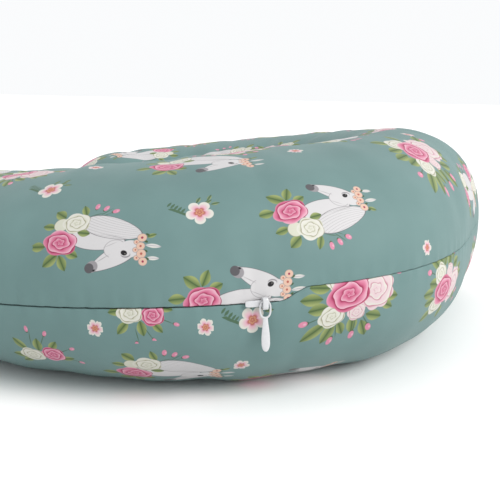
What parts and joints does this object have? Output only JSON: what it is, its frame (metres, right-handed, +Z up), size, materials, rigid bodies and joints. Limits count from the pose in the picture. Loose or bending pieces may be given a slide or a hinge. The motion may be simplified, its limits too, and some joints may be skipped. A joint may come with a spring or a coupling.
{
  "type": "nursing pillow",
  "caption": "C-shaped nursing pillow in a printed cotton cover, with a concealed zipper whose slider and pull move.",
  "frame": {"origin": "on the surface that the pillow lies on, under the middle of its plan outline", "axes": "+X towards the right arm, +Y out through the opening of the C, +Z up; the back of the C is at -Y"},
  "size_m": [0.56, 0.4189, 0.1499],
  "materials": {
    "printed_cloth": "matte printed cotton, dusty teal with flowers and horses",
    "overlock_thread": "looped thread",
    "casing_cloth": "plain white weave",
    "fibre": "lofted polyester fibre",
    "zip_tape": "ribbed woven tape",
    "coil_nylon": "smooth nylon",
    "white_enamel": "satin white enamel on die-cast zinc"
  },
  "bodies": {
    "pillow": {"cover_top_panel": "printed_cloth", "cover_bottom_panel": "printed_cloth", "seam_overlock": "overlock_thread", "casing_top_panel": "casing_cloth", "casing_bottom_panel": "casing_cloth", "fibre_fill": "fibre", "zipper_tape_upper": "zip_tape", "zipper_tape_lower": "zip_tape", "zipper_coil_upper": "coil_nylon", "zipper_coil_lower": "coil_nylon", "top_stop_upper": "coil_nylon", "top_stop_lower": "coil_nylon", "bottom_stop": "coil_nylon"},
    "slider": {"slider_body": "white_enamel"},
    "pull": {"pull_tab": "white_enamel"}
  },
  "joints": [
    {"name": "slider_travel", "type": "hinge", "parent": "pillow", "child": "slider", "pos_m": [-0.035, 0.01593, 0.05838], "axis": [0, -0.0537, -0.9986], "range_deg": [0, 60]},
    {"name": "pull_swing", "type": "hinge", "parent": "slider", "child": "pull", "pos_m": [-0.24452, -0.11517, 0.06704], "axis": [-0.515, 0.8559, -0.046], "range_deg": [-4, 160]}
  ]
}
